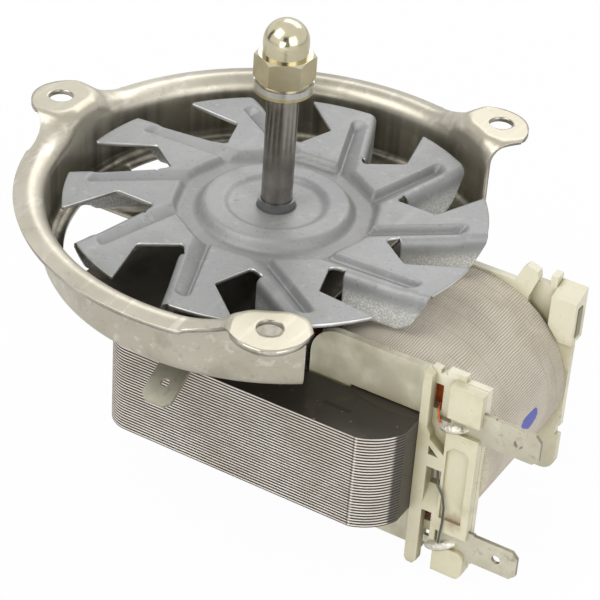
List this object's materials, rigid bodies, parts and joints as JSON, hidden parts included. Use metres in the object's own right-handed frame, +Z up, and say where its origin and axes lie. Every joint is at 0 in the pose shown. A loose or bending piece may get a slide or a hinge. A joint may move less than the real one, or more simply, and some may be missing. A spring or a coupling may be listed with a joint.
{
  "type": "shaded-pole fan motor",
  "caption": "Small C-frame motor under a pierced mounting dish with ears, turning a stamped cooling fan and a long shaft with washers and a dome nut; wound bobbin with flat tabs to one side.",
  "frame": {"origin": "centre of the ear bolt circle, on the top faces of the ears", "axes": "+Z up the shaft towards the dome nut, +X from the shaft towards the wound bobbin, +Y towards the back ear's side"},
  "size_m": [0.1226, 0.0998, 0.0926],
  "materials": {
    "dish_metal": "satin aluminised sheet",
    "tin_plate": "tinned",
    "bronze": "sintered",
    "spring_steel": "satin",
    "felt": "oiled felt",
    "zinc_steel": "zinc plated",
    "laminations": "edges of thin sheets",
    "copper": "enamelled copper",
    "rotor_aluminium": "cast",
    "washer_yellow": "yellow passivated",
    "shaft_steel": "ground",
    "bush_steel": "dark turned",
    "fan_sheet": "dull galvanised sheet",
    "nut_nickel": "nickel plated",
    "ivory_plastic": "moulded, lightly soiled",
    "tape": "woven tape",
    "solder": "solder with flux",
    "sleeve_grey": "grey enamelled lead",
    "dark_plastic": "moulded"
  },
  "bodies": {
    "frame": {"mounting_dish": "dish_metal", "earth_tab": "tin_plate", "dish_rivets": "dish_metal", "upper_bracket": "dish_metal", "upper_bearing": "bronze", "upper_retainer": "spring_steel", "upper_felt": "felt", "lower_bracket": "dish_metal", "lower_bearing": "bronze", "lower_retainer": "spring_steel", "lower_felt": "felt", "through_bolts": "zinc_steel", "bolt_nuts": "zinc_steel", "stator_yoke": "laminations", "coil_core": "laminations", "shading_rings": "copper", "bobbin": "ivory_plastic", "winding": "copper", "coil_tape": "tape", "upper_terminal": "tin_plate", "lower_terminal": "tin_plate", "solder_joints": "solder", "start_lead": "copper", "finish_lead": "sleeve_grey", "thermal_cutout": "dark_plastic"},
    "rotor": {"shaft": "shaft_steel", "rotor_core": "laminations", "rotor_cage": "rotor_aluminium", "thrust_spacers": "washer_yellow", "fan_bush": "bush_steel", "cooling_fan": "fan_sheet", "plain_washer": "washer_yellow", "spring_washer": "spring_steel", "dome_nut": "nut_nickel"}
  },
  "joints": [
    {"name": "rotor_spin", "type": "hinge", "parent": "frame", "child": "rotor", "pos_m": [0, 0, 0], "axis": [0, 0, 1], "continuous": true}
  ]
}
